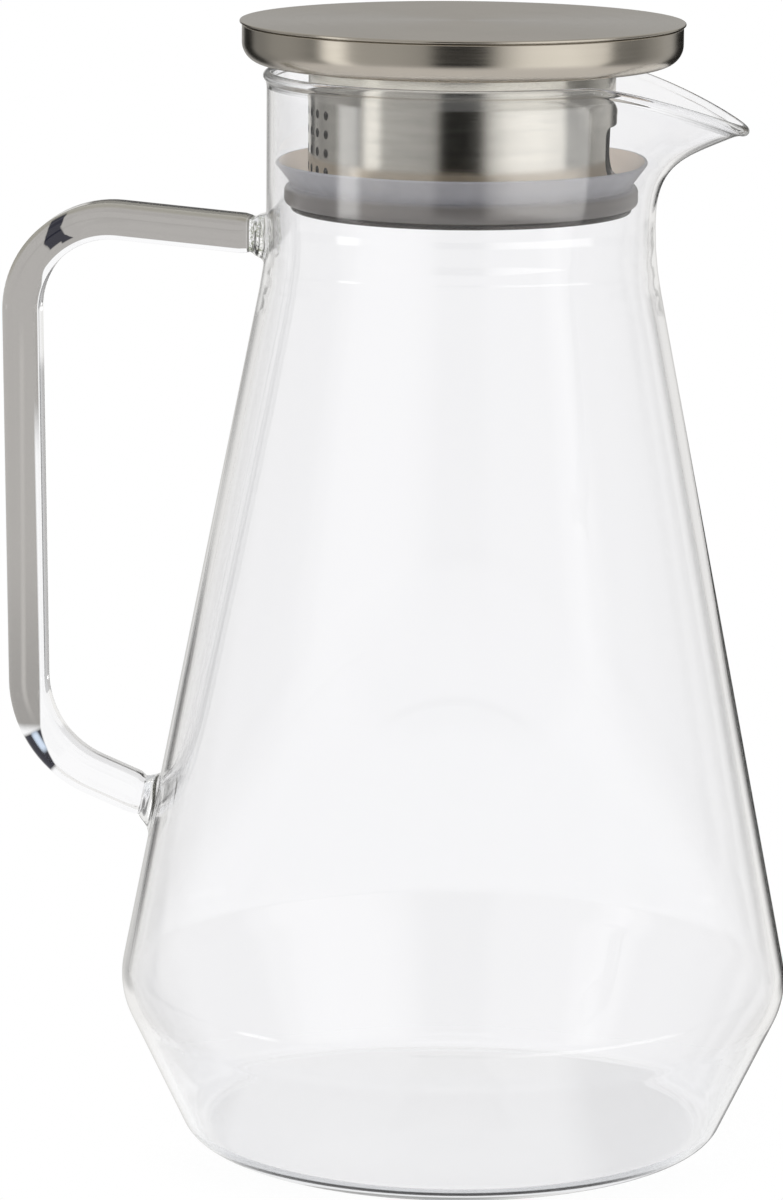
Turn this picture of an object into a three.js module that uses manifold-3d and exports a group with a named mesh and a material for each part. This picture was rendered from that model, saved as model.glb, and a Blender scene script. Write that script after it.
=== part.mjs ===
// Glass carafe with a strainer lid. The jug is clear glass: a blown vessel with a drawn
// spout, and a bent bar for its handle, melted on at two beads. The lid is steel, with a
// perforated collar below it that a flared silicone seal holds in the neck.
// Millimetres, +Z up. The origin is on the vessel's axis at its resting face, the spout
// points along +X and the handle along -X.
import * as THREE from 'three';
import { mergeVertices } from 'three/addons/utils/BufferGeometryUtils.js';
import Module from 'manifold-3d';

const wasm = await Module();
wasm.setup();

// Vessel
const GLASS_HEIGHT = 237.8;
const GLASS_WALL = 2.2;
const NECK_WALL = 1.4;
const FLOOR_THICKNESS = 2;
const NECK_RADIUS = 42.5;
const NECK_LENGTH = 40.6;
const BELLY_RADIUS = 75;
const BELLY_HEIGHT = 33.4;
const BASE_RADIUS = 59.2;
const SHOULDER_FILLET = 75;
const BELLY_FILLET = 17;
const BASE_FILLET = 5.5;
const FLOOR_FILLET = 6;

// Spout, drawn out of the neck: its reach and drop are measured at the middle of the wall
const SPOUT_DEPTH = 31.3;
const SPOUT_REACH = 19.8;
const SPOUT_DROP = 10.5;
const SPOUT_SPREAD = THREE.MathUtils.degToRad(45);
const SPOUT_TIP_RISE = THREE.MathUtils.degToRad(25);
const SPOUT_ROOT_PULL = 15;
const SPOUT_TIP_PULL = 13;
const SPOUT_POINTEDNESS = 1.6;
const SPOUT_NOSE = THREE.MathUtils.degToRad(3);

// Handle
const BAR_THICKNESS = 8;
const BAR_WIDTH = 11.5;
const BAR_EDGE_RADIUS = 2.2;
const HANDLE_REACH = 96.9;
const GRIP_LEAN = 1.4;
const HANDLE_TOP_BELOW_RIM = 36.7;
const HANDLE_FOOT_HEIGHT = 73.1;
const TOP_ARM_SLOPE = THREE.MathUtils.degToRad(5);
const FOOT_ARM_SLOPE = THREE.MathUtils.degToRad(23);
const TOP_BEND_RADIUS = 20;
const FOOT_BEND_RADIUS = 24;
const UPPER_WELD_LENGTH = 4.2;
const UPPER_WELD_FLARE = 2.4;
const LOWER_WELD_LENGTH = 4.6;
const LOWER_WELD_FLARE = 4.5;
const WELD_SIDE_FLARE = 3;

// Lid
const LID_OVERHANG = 5.4;
const LID_ABOVE_RIM = 1.8;
const LID_SHEET = 1;
const PAN_DEPTH = 8.3;
const PAN_FILLET = 4.5;
const DISC_THICKNESS = 0.6;
const DISC_OVERHANG = 0.5;
const DISC_EDGE_RADIUS = 0.25;
const DISC_SKIRT_DEPTH = 4;

// Strainer collar: its sleeve and flange stand clear of the neck's bore by the gaps given
const COLLAR_GAP = 7.7;
const COLLAR_SHEET = 0.8;
const COLLAR_DEPTH = 31.5;
const FLANGE_GAP = 3.9;
const FLANGE_THICKNESS = 1;
const HOLE_DIAMETER = 2;
const HOLE_ROWS = 4;
const HOLE_COLUMNS = 10;
const HOLE_ROW_PITCH = 4.05;
const HOLE_COLUMN_PITCH = 4.4;
const HOLES_BELOW_LID = 9.7;
const WINDOW_WIDTH = 22;
const WINDOW_HEIGHT = 11.2;
const WINDOW_BELOW_LID = 12.5;
const WINDOW_TOP_RADIUS = 2;
const WINDOW_FOOT_RADIUS = 4.5;

// Seal: its body stands clear of the neck's bore by the gap given
const SEAL_BODY_HEIGHT = 4.1;
const SEAL_BODY_GAP = 2.5;
const SEAL_BODY_ROUND = 1.2;
const SEAL_GROOVE_DEPTH = 1.7;
const SEAL_LIP_RISE = 5.3;
const SEAL_LIP_THICKNESS = 1.1;

// Clearance between pieces that seat on each other or turn in each other
const FIT_GAP = 0.3;

// Facets: round pieces are finer towards the spout by the share given
const VESSEL_SEGMENTS = 60;
const LID_SEGMENTS = 48;
const HOLE_SEGMENTS = 8;
const SPOUT_ROWS = 7;
const SPOUT_CROWDING = 0.6;

// Heights and radii that follow from the sizes above
const neckInnerRadius = NECK_RADIUS - NECK_WALL;
const shoulderHeight = GLASS_HEIGHT - NECK_LENGTH;
const rimRadius = NECK_WALL / 2;
const wallTop = GLASS_HEIGHT - rimRadius;
const spoutRoot = wallTop - SPOUT_DEPTH;
const lidRadius = NECK_RADIUS + LID_OVERHANG;
const panBottom = GLASS_HEIGHT + LID_ABOVE_RIM;
const panTop = panBottom + PAN_DEPTH;
const collarRadius = neckInnerRadius - COLLAR_GAP;
const collarTop = panBottom - FIT_GAP;
const collarBottom = collarTop - COLLAR_DEPTH;
const flangeTop = collarBottom + FLANGE_THICKNESS;

// Points of an outline whose corners are rounded by arcs. A corner is
// { r, z, fillet, steps }; a corner without a fillet stays sharp.
function roundedOutline(corners) {
  const points = [];
  corners.forEach((corner, i) => {
    const here = new THREE.Vector2(corner.r, corner.z);
    if (!corner.fillet) {
      points.push(here);
      return;
    }
    const before = corners[i - 1];
    const after = corners[i + 1];
    const back = new THREE.Vector2(before.r, before.z).sub(here).normalize();
    const ahead = new THREE.Vector2(after.r, after.z).sub(here).normalize();
    const halfAngle = Math.acos(THREE.MathUtils.clamp(back.dot(ahead), -1, 1)) / 2;
    const setBack = corner.fillet / Math.tan(halfAngle);
    const start = here.clone().addScaledVector(back, setBack);
    const end = here.clone().addScaledVector(ahead, setBack);
    const centre = here.clone().addScaledVector(back.clone().add(ahead).normalize(),
      corner.fillet / Math.sin(halfAngle));
    const from = start.clone().sub(centre).angle();
    let sweep = end.clone().sub(centre).angle() - from;
    sweep -= 2 * Math.PI * Math.round(sweep / (2 * Math.PI));
    for (let k = 0; k <= corner.steps; k += 1) {
      const angle = from + sweep * k / corner.steps;
      points.push(new THREE.Vector2(centre.x + corner.fillet * Math.cos(angle),
        centre.y + corner.fillet * Math.sin(angle)));
    }
  });
  return points;
}

// The corner where two lines meet after each has moved to its left by its own offset
function offsetCorner(before, corner, after, offsetIn, offsetOut) {
  const inward = new THREE.Vector2(corner.r - before.r, corner.z - before.z).normalize();
  const outward = new THREE.Vector2(after.r - corner.r, after.z - corner.z).normalize();
  const cross = inward.x * outward.y - inward.y * outward.x;
  const along = (offsetOut - offsetIn * inward.dot(outward)) / cross;
  return {
    r: corner.r - inward.y * offsetIn - inward.x * along,
    z: corner.z + inward.x * offsetIn - inward.y * along,
  };
}

// A solid of revolution about Z from an outline given from its foot, anticlockwise
function latheSolid(points, segments) {
  const geometry = new THREE.LatheGeometry(points, segments);
  geometry.rotateX(Math.PI / 2);
  return geometry;
}

// A closed skin over a run of rings with equally many points, with both ends filled
function loftSolid(rings) {
  const count = rings[0].length;
  const positions = rings.flat().flatMap((point) => [point.x, point.y, point.z]);
  const index = [];
  for (let ring = 0; ring < rings.length - 1; ring += 1) {
    for (let k = 0; k < count; k += 1) {
      const next = (k + 1) % count;
      const a = ring * count + k;
      const b = ring * count + next;
      index.push(a, b, b + count, a, b + count, a + count);
    }
  }
  const last = (rings.length - 1) * count;
  for (let k = 1; k < count - 1; k += 1) {
    index.push(0, k + 1, k, last, last + k, last + k + 1);
  }
  const geometry = new THREE.BufferGeometry();
  geometry.setAttribute('position', new THREE.Float32BufferAttribute(positions, 3));
  geometry.setIndex(index);
  geometry.computeVertexNormals();
  return geometry;
}

// Conversions to and from the solids that are cut and joined
function toSolid(geometry) {
  const bare = geometry.clone();
  bare.deleteAttribute('normal');
  bare.deleteAttribute('uv');
  const merged = mergeVertices(bare, 1e-4);
  const source = merged.index.array;
  const triangles = [];
  for (let i = 0; i < source.length; i += 3) {
    const corners = [source[i], source[i + 1], source[i + 2]];
    if (new Set(corners).size === 3) {
      triangles.push(...corners);
    }
  }
  return new wasm.Manifold(new wasm.Mesh({
    numProp: 3,
    vertProperties: new Float32Array(merged.attributes.position.array),
    triVerts: new Uint32Array(triangles),
  }));
}

function fromSolid(solid) {
  const mesh = solid.getMesh();
  const geometry = new THREE.BufferGeometry();
  geometry.setAttribute('position', new THREE.BufferAttribute(mesh.vertProperties, 3));
  geometry.setIndex(new THREE.BufferAttribute(mesh.triVerts, 1));
  geometry.computeVertexNormals();
  return geometry;
}

// Vessel: the outline of its outer face, from the axis up to the end of the neck
function vesselCorners() {
  return [
    { r: 0, z: 0 },
    { r: BASE_RADIUS, z: 0, fillet: BASE_FILLET, steps: 3 },
    { r: BELLY_RADIUS, z: BELLY_HEIGHT, fillet: BELLY_FILLET, steps: 5 },
    { r: NECK_RADIUS, z: shoulderHeight, fillet: SHOULDER_FILLET, steps: 3 },
    { r: NECK_RADIUS, z: wallTop },
  ];
}

// The inner face lies a wall inside it; the floor and the neck have walls of their own
function vesselInnerCorners() {
  const [axis, base, belly, shoulder, top] = vesselCorners();
  return [
    { r: neckInnerRadius, z: wallTop },
    {
      ...offsetCorner(belly, shoulder, top, GLASS_WALL, NECK_WALL),
      fillet: SHOULDER_FILLET + GLASS_WALL,
      steps: 3,
    },
    {
      ...offsetCorner(base, belly, shoulder, GLASS_WALL, GLASS_WALL),
      fillet: BELLY_FILLET - GLASS_WALL,
      steps: 5,
    },
    {
      ...offsetCorner(axis, base, belly, FLOOR_THICKNESS, GLASS_WALL),
      fillet: FLOOR_FILLET,
      steps: 3,
    },
    { r: 0, z: FLOOR_THICKNESS },
  ];
}

// Rows along the straight neck that the spout is drawn from, from its root upwards
function spoutRowHeights() {
  return Array.from({ length: SPOUT_ROWS }, (_, k) => spoutRoot + SPOUT_DEPTH * k / SPOUT_ROWS);
}

function rimArc() {
  const steps = 4;
  return Array.from({ length: steps - 1 }, (_, k) => {
    const angle = Math.PI * (k + 1) / steps;
    return new THREE.Vector2(NECK_RADIUS - rimRadius + rimRadius * Math.cos(angle),
      wallTop + rimRadius * Math.sin(angle));
  });
}

// How far the wall at an angle from +X follows the spout: 1 at its nose, 0 past its spread
function spoutShare(angle) {
  const blunt = Math.hypot(angle, SPOUT_NOSE) - SPOUT_NOSE;
  return Math.max(0, 1 - blunt / SPOUT_SPREAD) ** SPOUT_POINTEDNESS;
}

// The middle of the wall along the spout's centre line, as radius and height
function spoutLine() {
  const middle = NECK_RADIUS - rimRadius;
  const tip = new THREE.Vector2(middle + SPOUT_REACH, wallTop - SPOUT_DROP);
  return new THREE.CubicBezierCurve(
    new THREE.Vector2(middle, spoutRoot),
    new THREE.Vector2(middle, spoutRoot + SPOUT_ROOT_PULL),
    new THREE.Vector2(tip.x - SPOUT_TIP_PULL * Math.cos(SPOUT_TIP_RISE),
      tip.y - SPOUT_TIP_PULL * Math.sin(SPOUT_TIP_RISE)),
    tip,
  );
}

// Move a point of the straight neck to its place on the spout, keeping the wall's thickness
function drawSpout(radius, height, angle, line) {
  const share = spoutShare(angle);
  if (height <= spoutRoot || share === 0) {
    return { radius, height };
  }
  const middle = NECK_RADIUS - rimRadius;
  const onWall = Math.min(height, wallTop);
  const t = (onWall - spoutRoot) / SPOUT_DEPTH;
  const upright = new THREE.Vector2(middle, onWall);
  const place = upright.clone().lerp(line.getPoint(t), share);
  const slope = line.getTangent(t);
  const run = new THREE.Vector2(0, 1).lerp(slope, share).normalize();
  const across = radius - middle;
  const beyond = height - onWall;
  return {
    radius: place.x + run.y * across + run.x * beyond,
    height: place.y - run.x * across + run.y * beyond,
  };
}

function glassBody() {
  const rows = spoutRowHeights();
  const outline = [
    ...roundedOutline(vesselCorners()).slice(0, -1),
    ...rows.map((z) => new THREE.Vector2(NECK_RADIUS, z)),
    new THREE.Vector2(NECK_RADIUS, wallTop),
    ...rimArc(),
    new THREE.Vector2(neckInnerRadius, wallTop),
    ...rows.reverse().map((z) => new THREE.Vector2(neckInnerRadius, z)),
    ...roundedOutline(vesselInnerCorners()).slice(1),
  ];
  const geometry = latheSolid(outline, VESSEL_SEGMENTS);
  const line = spoutLine();
  const position = geometry.attributes.position;
  for (let i = 0; i < position.count; i += 1) {
    const x = position.getX(i);
    const y = position.getY(i);
    const even = Math.atan2(y, x);
    const angle = even - SPOUT_CROWDING * Math.sin(even);
    const place = drawSpout(Math.hypot(x, y), position.getZ(i), angle, line);
    position.setXYZ(i, place.radius * Math.cos(angle), place.radius * Math.sin(angle), place.height);
  }
  geometry.computeVertexNormals();
  return geometry;
}

// Handle: the bar's section is a rounded rectangle, thickness along its first axis
function barSection(thickness, width, fillet) {
  const a = thickness / 2;
  const b = width / 2;
  const steps = 2;
  const corners = [[1, 1], [-1, 1], [-1, -1], [1, -1]];
  return corners.flatMap(([u, v], quarter) => Array.from({ length: steps + 1 }, (_, k) => {
    const angle = (quarter + k / steps) * Math.PI / 2;
    return new THREE.Vector2(u * (a - fillet) + fillet * Math.cos(angle),
      v * (b - fillet) + fillet * Math.sin(angle));
  }));
}

// A ring of the section at a point of the handle's plane, square to the given direction
function barRing(section, x, z, direction) {
  return section.map((point) => new THREE.Vector3(x + direction.y * point.x, point.y,
    z - direction.x * point.x));
}

// An arm of the handle: where its middle meets the neck or the cone, and its way outwards
function handleArm(height, slope) {
  const onCone = Math.max(0, (shoulderHeight - height) / (shoulderHeight - BELLY_HEIGHT));
  const wall = THREE.MathUtils.lerp(NECK_RADIUS, BELLY_RADIUS, onCone);
  return {
    root: new THREE.Vector2(-wall, height),
    away: new THREE.Vector2(-Math.cos(slope), Math.sin(slope)),
  };
}

// Where an arm's middle line crosses the grip, at its distance from the vessel's axis
function gripCorner(arm, distance) {
  const run = (-distance - arm.root.x) / arm.away.x;
  return arm.root.clone().addScaledVector(arm.away, run);
}

function handleBar(topArm, footArm) {
  const start = topArm.root.clone().addScaledVector(topArm.away, UPPER_WELD_LENGTH + FIT_GAP);
  const end = footArm.root.clone().addScaledVector(footArm.away, LOWER_WELD_LENGTH + FIT_GAP);
  const topCorner = gripCorner(topArm, HANDLE_REACH);
  const footCorner = gripCorner(footArm, HANDLE_REACH - GRIP_LEAN);
  const line = roundedOutline([
    { r: start.x, z: start.y },
    { r: topCorner.x, z: topCorner.y, fillet: TOP_BEND_RADIUS, steps: 10 },
    { r: footCorner.x, z: footCorner.y, fillet: FOOT_BEND_RADIUS, steps: 8 },
    { r: end.x, z: end.y },
  ]);
  const section = barSection(BAR_THICKNESS, BAR_WIDTH, BAR_EDGE_RADIUS);
  const rings = line.map((point, i) => {
    const before = line[Math.max(i - 1, 0)];
    const after = line[Math.min(i + 1, line.length - 1)];
    const direction = after.clone().sub(before).normalize();
    return barRing(section, point.x, point.y, direction);
  });
  return loftSolid(rings);
}

// A weld bead flares from the bar's section to a wider foot, cut to fit the vessel's wall
function weldBead(arm, length, flare) {
  const inside = GLASS_WALL + flare;
  const steps = 6;
  const rings = Array.from({ length: steps + 1 }, (_, k) => {
    const run = THREE.MathUtils.lerp(length, -inside, k / steps);
    const swell = Math.min(1, (length - run) / length) ** 2;
    const place = arm.root.clone().addScaledVector(arm.away, run);
    const section = barSection(BAR_THICKNESS + 2 * flare * swell,
      BAR_WIDTH + 2 * WELD_SIDE_FLARE * swell, BAR_EDGE_RADIUS + WELD_SIDE_FLARE * swell);
    return barRing(section, place.x, place.y, arm.away.clone().negate());
  });
  const bead = toSolid(loftSolid(rings));
  return fromSolid(bead.subtract(toSolid(grownVessel())));
}

// The vessel's outside without its spout, grown by the fit gap
function grownVessel() {
  const coneSlope = Math.atan2(BELLY_RADIUS - NECK_RADIUS, shoulderHeight - BELLY_HEIGHT);
  const growth = FIT_GAP / Math.cos(coneSlope);
  const side = roundedOutline(vesselCorners()).slice(1);
  return latheSolid([
    new THREE.Vector2(0, 0),
    ...side.map((point) => new THREE.Vector2(point.x + growth, point.y)),
    new THREE.Vector2(0, wallTop),
  ], 2 * VESSEL_SEGMENTS);
}

// Lid: a pressed pan below, closed by a disc whose skirt drops inside the pan's wall
function lidUnderPan() {
  const inner = lidRadius - LID_SHEET;
  return latheSolid(roundedOutline([
    { r: 0, z: panBottom },
    { r: lidRadius, z: panBottom, fillet: PAN_FILLET, steps: 5 },
    { r: lidRadius, z: panTop },
    { r: inner, z: panTop },
    { r: inner, z: panBottom + LID_SHEET, fillet: PAN_FILLET - LID_SHEET, steps: 4 },
    { r: 0, z: panBottom + LID_SHEET },
  ]), LID_SEGMENTS);
}

function lidTopDisc() {
  const bottom = panTop + FIT_GAP;
  const top = bottom + DISC_THICKNESS;
  const edge = lidRadius + DISC_OVERHANG;
  const skirtOuter = lidRadius - LID_SHEET - FIT_GAP;
  const skirtInner = skirtOuter - LID_SHEET;
  return latheSolid(roundedOutline([
    { r: 0, z: bottom },
    { r: skirtInner, z: bottom },
    { r: skirtInner, z: bottom - DISC_SKIRT_DEPTH },
    { r: skirtOuter, z: bottom - DISC_SKIRT_DEPTH },
    { r: skirtOuter, z: bottom },
    { r: edge, z: bottom },
    { r: edge, z: top, fillet: DISC_EDGE_RADIUS, steps: 2 },
    { r: 0, z: top },
  ]), LID_SEGMENTS);
}

// Collar: a sleeve with a flange at its foot, small holes towards the handle and a pour
// window towards the spout
function strainerCollar() {
  const inner = collarRadius - COLLAR_SHEET;
  const flangeRadius = neckInnerRadius - FLANGE_GAP;
  let sleeve = toSolid(latheSolid([
    new THREE.Vector2(inner, collarBottom),
    new THREE.Vector2(flangeRadius, collarBottom),
    new THREE.Vector2(flangeRadius, flangeTop),
    new THREE.Vector2(collarRadius, flangeTop),
    new THREE.Vector2(collarRadius, collarTop),
    new THREE.Vector2(inner, collarTop),
    new THREE.Vector2(inner, collarBottom),
  ], LID_SEGMENTS));
  for (let row = 0; row < HOLE_ROWS; row += 1) {
    for (let column = 0; column < HOLE_COLUMNS; column += 1) {
      const across = (column - (HOLE_COLUMNS - 1) / 2) * HOLE_COLUMN_PITCH;
      const hole = new THREE.CylinderGeometry(HOLE_DIAMETER / 2, HOLE_DIAMETER / 2,
        collarRadius, HOLE_SEGMENTS);
      hole.rotateZ(Math.PI / 2);
      hole.translate(-collarRadius, 0, collarTop - HOLES_BELOW_LID - row * HOLE_ROW_PITCH);
      hole.rotateZ(across / collarRadius);
      sleeve = sleeve.subtract(toSolid(hole));
    }
  }
  return fromSolid(sleeve.subtract(toSolid(pourWindow())));
}

function pourWindow() {
  const halfWidth = WINDOW_WIDTH / 2;
  const foot = collarTop - WINDOW_BELOW_LID - WINDOW_HEIGHT;
  const low = WINDOW_FOOT_RADIUS;
  const high = WINDOW_TOP_RADIUS;
  const shape = new THREE.Shape();
  shape.absarc(halfWidth - low, foot + low, low, -Math.PI / 2, 0);
  shape.absarc(halfWidth - high, foot + WINDOW_HEIGHT - high, high, 0, Math.PI / 2);
  shape.absarc(high - halfWidth, foot + WINDOW_HEIGHT - high, high, Math.PI / 2, Math.PI);
  shape.absarc(low - halfWidth, foot + low, low, Math.PI, 3 * Math.PI / 2);
  const cutter = new THREE.ExtrudeGeometry(shape, {
    depth: 2 * collarRadius,
    bevelEnabled: false,
    curveSegments: 4,
  });
  cutter.rotateX(Math.PI / 2);
  cutter.rotateZ(Math.PI / 2);
  return cutter;
}

// Seal: a round-edged body on the flange, a groove, and a lip that flares to the neck
function sealRing() {
  const bore = collarRadius + FIT_GAP;
  const foot = flangeTop + FIT_GAP;
  const shoulder = foot + SEAL_BODY_HEIGHT;
  const bodyRadius = neckInnerRadius - SEAL_BODY_GAP;
  const grooveRadius = bodyRadius - SEAL_GROOVE_DEPTH;
  const lipRadius = neckInnerRadius - FIT_GAP;
  const lipTop = shoulder + SEAL_LIP_RISE;
  return latheSolid(roundedOutline([
    { r: bore, z: foot },
    { r: bodyRadius, z: foot, fillet: SEAL_BODY_ROUND, steps: 3 },
    { r: bodyRadius, z: shoulder, fillet: SEAL_BODY_ROUND, steps: 3 },
    { r: grooveRadius, z: shoulder },
    { r: lipRadius, z: lipTop },
    { r: lipRadius - SEAL_LIP_THICKNESS, z: lipTop },
    { r: grooveRadius - SEAL_LIP_THICKNESS, z: shoulder + SEAL_LIP_THICKNESS },
    { r: bore, z: shoulder + SEAL_LIP_THICKNESS },
    { r: bore, z: foot },
  ]), LID_SEGMENTS);
}

// Materials and the finished model
function clearGlass() {
  return new THREE.MeshStandardMaterial({
    color: 0xeef4f2, roughness: 0.03, metalness: 0, transparent: true, opacity: 0.3,
  });
}

function polishedSteel() {
  return new THREE.MeshStandardMaterial({ color: 0xb8aea4, roughness: 0.22, metalness: 1 });
}

function brushedSteel() {
  return new THREE.MeshStandardMaterial({ color: 0xb3aea8, roughness: 0.36, metalness: 1 });
}

function silicone() {
  return new THREE.MeshStandardMaterial({ color: 0xb9bcc0, roughness: 0.45, metalness: 0 });
}

function piece(name, geometry, material) {
  const mesh = new THREE.Mesh(geometry, material);
  mesh.name = name;
  return mesh;
}

const topArm = handleArm(GLASS_HEIGHT - HANDLE_TOP_BELOW_RIM, TOP_ARM_SLOPE);
const footArm = handleArm(HANDLE_FOOT_HEIGHT, FOOT_ARM_SLOPE);

const jug = new THREE.Group();
jug.add(
  piece('glass_body', glassBody(), clearGlass()),
  piece('handle_bar', handleBar(topArm, footArm), clearGlass()),
  piece('handle_upper_weld', weldBead(topArm, UPPER_WELD_LENGTH, UPPER_WELD_FLARE), clearGlass()),
  piece('handle_lower_weld', weldBead(footArm, LOWER_WELD_LENGTH, LOWER_WELD_FLARE), clearGlass()),
);

const lid = new THREE.Group();
lid.add(
  piece('lid_under_pan', lidUnderPan(), polishedSteel()),
  piece('lid_top_disc', lidTopDisc(), polishedSteel()),
  piece('strainer_collar', strainerCollar(), brushedSteel()),
  piece('seal_ring', sealRing(), silicone()),
);

const carafe = new THREE.Group();
carafe.add(jug, lid);

export default carafe;
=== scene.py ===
"""Looks of a glass carafe with a strainer lid, built around its packed solids."""

import math

import bpy
import numpy as np
from bpy.props import FloatProperty, FloatVectorProperty, IntProperty, PointerProperty
from mathutils import Matrix, Vector


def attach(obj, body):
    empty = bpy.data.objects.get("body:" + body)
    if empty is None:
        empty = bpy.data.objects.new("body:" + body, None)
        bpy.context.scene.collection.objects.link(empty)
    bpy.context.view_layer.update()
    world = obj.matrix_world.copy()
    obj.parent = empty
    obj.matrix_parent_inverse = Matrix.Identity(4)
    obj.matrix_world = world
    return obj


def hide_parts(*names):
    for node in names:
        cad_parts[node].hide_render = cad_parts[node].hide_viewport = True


bl_info = {
    "name": "Glass carafe",
    "version": (1, 0, 0),
    "blender": (4, 5, 0),
    "location": "3D View > Sidebar > Carafe",
    "description": "A clear glass carafe with a bar handle, a steel strainer lid and a silicone seal",
    "category": "Add Mesh",
}

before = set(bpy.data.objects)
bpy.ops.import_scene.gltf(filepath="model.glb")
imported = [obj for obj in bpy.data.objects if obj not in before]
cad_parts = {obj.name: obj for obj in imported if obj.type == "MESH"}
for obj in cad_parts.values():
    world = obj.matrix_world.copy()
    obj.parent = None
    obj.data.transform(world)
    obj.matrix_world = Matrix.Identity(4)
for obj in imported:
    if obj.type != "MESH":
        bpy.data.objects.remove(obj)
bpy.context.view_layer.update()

# Clearance that the solids keep between neighbours
FIT_GAP = 0.0003

# Fineness of the outlines and of the turned shapes
ARC_STEP = math.radians(4)
VESSEL_STEP = 0.0016
BAR_STEP = 0.0012
LID_STEP = 0.004
COLLAR_STEP = 0.0022
SEAL_STEP = 0.0012
VESSEL_SEGMENTS = 256
STEEL_SEGMENTS = 192
HOLE_SEGMENTS = 20
FLOOR_SEGMENTS = 64

# How much the vessel's facets gather at the spout
SPOUT_CROWDING = 0.6

# Steps round the rim's bead, the angle where it starts, and where the neck begins to swell into it
RIM_STEPS = 19
RIM_START = -0.8
BEAD_SWELL = 3.6

# Width of the flat ring around the hollow in the base
BASE_FLAT = 0.004

# Steps along a weld bead, where its groove lies and how wide that is
WELD_STEPS = 18
WAIST_AT = 0.14
WAIST_SPREAD = 0.11

# How far before and behind an arm's end the wall is looked for, and in how many halvings
WALL_SEARCH = (-0.03, 0.05)
WALL_HALVINGS = 40

# The vessel's glasses, for its outside, its rim and its inner side: where each takes on the painted
# edge shade as it turns away, and how deep its waves are. Above the height the inner side has the
# first of them.
VESSEL_GLASS = (
    ("clear_glass", (0.86, 0.98), 0.012),
    ("rim_glass", (0.30, 0.85), 0.0),
    ("inner_glass", (1.0, 1.1), 0.012),
)
INNER_GLASS_HEIGHT = 0.19

# How far glass and silicone bend light
GLASS_IOR = 1.47
SILICONE_IOR = 1.12

# Painted shade of glass seen edge on, a near-black tint that stands in for the dark surroundings its
# edges refract; tone of light that falls through it; and bounces after which it is clear
PAINTED_EDGE_SHADE = (0.05, 0.052, 0.05)
GLASS_SHADOW = (0.95, 0.955, 0.955)
TRAPPED_AFTER = 5.5

# Painted light and shade in the handle's glass, standing in for what it reflects and refracts: grey
# on its flat sides, a darker top face, dark lines and glints, and swirls in the upper bead that also
# carry the green of thick glass. Heights and distances over which each sets in, shares of facing the
# loop's inside, and tones
ARM_HEIGHT = (0.189, 0.194)
ARM_TURN = 0.48
PAINTED_GREY_TURN = (0.90, 0.98)
PAINTED_GREY_HEIGHT = (0.0890, 0.0915)
CLEAR_SLOPE = 0.0148
CLEAR_LINE = (-0.0912, -0.0908)
CLEAR_HEIGHT = (0.150, 0.165)
NEAR_SIDE = (-0.0050, -0.0040)
PAINTED_TOP_FACE_TONE = (0.115, 0.105, 0.078)
PAINTED_RIDGE_LINE_TONE = (0.004, 0.0035, 0.003)
PAINTED_INNER_LINE_TONE = (0.06, 0.06, 0.06)
PAINTED_SWIRL_TONE = (0.16, 0.18, 0.11)
PAINTED_SEAM_TONE = (0.02, 0.02, 0.015)
GLINT_TONE = (0.45, 0.60, 0.85)

# Grain of brushed steel, in lines to the metre
FINE_GRAIN = 2600.0
BROAD_GRAIN = 500.0

# Painted shadow on the floor below the carafe's front, and the painted contact shadow at its seat
PAINTED_FLOOR_SHADOW = (0.62, 0.62, 0.63)
PAINTED_SEAT_SHADOW = (0.01, 0.01, 0.012)

# Level of the studio round the carafe at a compass angle: 0 is square on to the handle's plane
# on the camera's side, and the angle grows towards the spout. The front has tall soft boxes and
# gaps. Behind the carafe the studio has a part on each side of the front, given as steel mirrors
# it low down, as steel mirrors it higher up, and as it is seen through glass.
STUDIO_FRONT = (
    (-124, 0.26), (-112, 0.36), (-100, 0.38), (-88, 0.32), (-80, 0.20), (-77, 0.24), (-71, 1.30),
    (-62, 1.30), (-56, 0.48), (-36, 0.46), (-15, 0.38), (-9, 0.0), (8, 0.0), (16, 0.05),
    (25, 0.65), (38, 1.05), (62, 1.15), (84, 0.95), (90, 0.22), (108, 0.20), (118, 0.30),
    (134, 0.45),
)
STUDIO_BEHIND = ((-180, 0.45), (-160, 0.40), (-154, 0.01), (-140, 0.01), (-134, 0.26)), (
    (144, 0.45), (154, 0.01), (174, 0.01), (180, 0.45))
STUDIO_HIGH = ((-180, 0.42), (-140, 0.42)), ((150, 0.42), (180, 0.42))
STUDIO_BEYOND = ((-180, 0.77), (-152, 0.77), (-148, 0.03), (-141, 0.03), (-137, 0.40)), (
    (144, 0.60), (156, 0.02), (170, 0.02), (174, 0.77), (180, 0.77))

# The soft boxes as the outer and inner side of the neck mirror them
NECK_LIGHTS = (
    (-180, 0.60), (-120, 0.60), (-90, 0.60), (-76, 0.60), (-71, 4.20), (-62, 4.20), (-56, 1.10),
    (-36, 1.05), (-15, 0.90), (-9, 0.0), (8, 0.0), (16, 0.10), (25, 1.90), (38, 3.10),
    (62, 3.30), (84, 2.90), (90, 0.60), (120, 0.70), (180, 0.60),
)

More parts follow.
